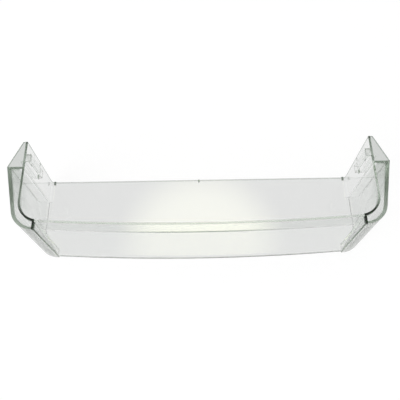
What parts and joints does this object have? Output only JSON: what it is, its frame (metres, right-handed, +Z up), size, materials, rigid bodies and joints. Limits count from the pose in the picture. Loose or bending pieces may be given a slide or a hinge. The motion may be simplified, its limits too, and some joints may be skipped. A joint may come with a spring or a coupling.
{
  "type": "fridge door shelf",
  "caption": "Clear moulded bottle shelf for a fridge door: open-backed tray with a bowed front, a front rail, rounded end wings and hook sockets in the end walls.",
  "frame": {"origin": "middle of the part's box, at the underside of the floor", "axes": "+X along the shelf, +Y from its front to the door, +Z up"},
  "size_m": [0.4824, 0.1266, 0.118],
  "materials": {
    "clear_plastic": "clear, faintly green, gloss"
  },
  "bodies": {
    "root": {"door_shelf": "clear_plastic"}
  },
  "joints": []
}
